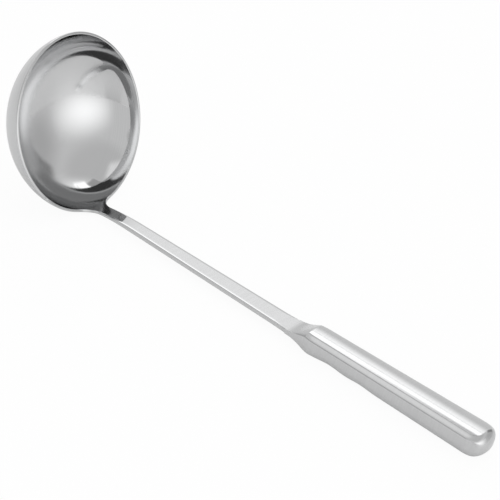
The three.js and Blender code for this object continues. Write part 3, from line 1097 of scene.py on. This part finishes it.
def add_room(fill):
    """The world: white to the camera, pale with a grey ceiling in the steel, and a plain fill for
    the rest."""
    world = bpy.data.worlds.new("white_room")
    bpy.context.scene.world = world
    world.use_nodes = True
    tree = world.node_tree
    tree.nodes.clear()
    way = add_node(tree, "ShaderNodeTexCoord").outputs["Generated"]
    height = add_node(tree, "ShaderNodeSeparateXYZ", {0: way}).outputs["Z"]
    room = between(
        tree, height, ROOM_TONE, CEILING_TONE, CEILING_START, CEILING_END, "SMOOTHSTEP",
    )
    strengths = (fill, room, 1.0)
    plain, in_steel, white = [
        white_light(tree, "ShaderNodeBackground", strength) for strength in strengths
    ]
    mixed = mix_shaders(tree, seen_in_steel(tree), plain, in_steel)
    whole = mix_shaders(tree, seen_by_camera(tree), mixed, white)
    add_node(tree, "ShaderNodeOutputWorld", {"Surface": whole})


def add_camera(studio):
    """Looks at the ladle from the near side, tilted so that the handle runs down to the right."""
    data = bpy.data.cameras.new("camera")
    data.lens = studio.lens
    camera = bpy.data.objects.new("camera", data)
    bpy.context.scene.collection.objects.link(camera)
    bpy.context.scene.camera = camera
    back = direction(studio.azimuth - QUARTER, studio.elevation)
    level = Vector((math.cos(studio.azimuth), math.sin(studio.azimuth), 0))
    upward = back.cross(level)
    right = level * math.cos(studio.roll) + upward * math.sin(studio.roll)
    up = back.cross(right)
    turn = Matrix((right, up, back)).transposed().to_4x4()
    place = Vector(studio.aim) + back * studio.distance
    camera.matrix_world = Matrix.Translation(place) @ turn


# Operators

def handle_skin(settings):
    """The skin of the handle, with the sizes that are set."""
    return HandleSkin(Handle(settings.handle, Pressing(settings.pressing)))


class LADLE_OT_bowl_and_shank(bpy.types.Operator):
    """Presses the bowl, neck, shank and tang from one sheet."""

    bl_idname = "ladle.bowl_and_shank"
    bl_label = "Bowl and shank"

    def execute(self, context):
        settings = context.scene.ladle
        finish = settings.finish
        form = Pressing(settings.pressing)
        disc, wall, back = finish.disc_roughness, finish.wall_roughness, finish.back_roughness
        finishes = (
            turned_steel("polished_steel", finish.steel, form, disc, wall),
            turned_steel("satin_back", finish.satin, form, back, back),
            brushed_steel("satin_shank", finish.steel, finish.shank_roughness),
        )
        solid = solid_pressing(form)
        solid.to_piece("ladle_pressing", "bowl_and_shank", "polished_steel", finishes)
        return {"FINISHED"}


class LADLE_OT_handle_shells(bpy.types.Operator):
    """Forms the two half shells of the hollow handle."""

    bl_idname = "ladle.handle_shells"
    bl_label = "Handle shells"

    def execute(self, context):
        settings = context.scene.ladle
        skin = handle_skin(settings)
        finish = settings.finish
        satin = brushed_steel("satin_steel", finish.satin, finish.handle_roughness)
        low = skin.low_count
        upper = skin.shell([*range(low, skin.size - low)])
        upper.to_piece("handle_shell_upper", "handle_upper_shell", "satin_steel", (satin,))
        lower = skin.shell([*range(skin.size - low, skin.size), *range(low)])
        lower.to_piece("handle_shell_lower", "handle_lower_shell", "satin_steel", (satin,))
        return {"FINISHED"}


class LADLE_OT_handle_welds(bpy.types.Operator):
    """Lays the welds along the seam and round the mouth of the handle, ground flush."""

    bl_idname = "ladle.handle_welds"
    bl_label = "Handle welds"

    def execute(self, context):
        settings = context.scene.ladle
        skin = handle_skin(settings)
        finish = settings.finish
        ground = brushed_steel("ground_weld", finish.weld, finish.handle_roughness)
        low = skin.low_count
        seam = skin.shell([low - 1, low], [skin.size - low - 1, skin.size - low])
        seam.to_piece("weld_seam", "handle_seam_weld", "ground_weld", (ground,))
        skin.collar().to_piece("weld_mouth", "handle_mouth_weld", "ground_weld", (ground,))
        return {"FINISHED"}


class LADLE_OT_studio(bpy.types.Operator):
    """Sets up the floor, the lamps and the camera."""

    bl_idname = "ladle.studio"
    bl_label = "Studio"

    def execute(self, context):
        studio = context.scene.ladle.studio
        context.scene.view_settings.view_transform = "Standard"
        add_camera(studio)
        add_room(studio.fill)
        add_floor()
        for place, card in enumerate(CARDS):
            add_card(card, STUDIO_REACH * CARD_SPACING**place)
        return {"FINISHED"}


OPERATORS = (
    LADLE_OT_bowl_and_shank,
    LADLE_OT_handle_shells,
    LADLE_OT_handle_welds,
    LADLE_OT_studio,
)


class LADLE_PT_panel(bpy.types.Panel):
    """Lists the steps that build the ladle."""

    bl_idname = "LADLE_PT_panel"
    bl_label = "Serving ladle"
    bl_space_type = "VIEW_3D"
    bl_region_type = "UI"
    bl_category = "Ladle"

    def draw(self, context):
        for operator in OPERATORS:
            self.layout.operator(operator.bl_idname)


CLASSES = (
    LADLE_PG_pressing,
    LADLE_PG_handle,
    LADLE_PG_finish,
    LADLE_PG_studio,
    LADLE_PG_settings,
    *OPERATORS,
    LADLE_PT_panel,
)


def register():
    for entry in CLASSES:
        bpy.utils.register_class(entry)
    bpy.types.Scene.ladle = PointerProperty(type=LADLE_PG_settings)


def unregister():
    del bpy.types.Scene.ladle
    for entry in reversed(CLASSES):
        bpy.utils.unregister_class(entry)


def main():
    register()
    bpy.ops.ladle.bowl_and_shank()
    bpy.ops.ladle.handle_shells()
    bpy.ops.ladle.handle_welds()
    bpy.ops.ladle.studio()
    boxes = {"cad": cad_box, "visual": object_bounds()}
    {name: [list(corner) for corner in box] for name, box in boxes.items()}


if __name__ == "__main__":
    main()
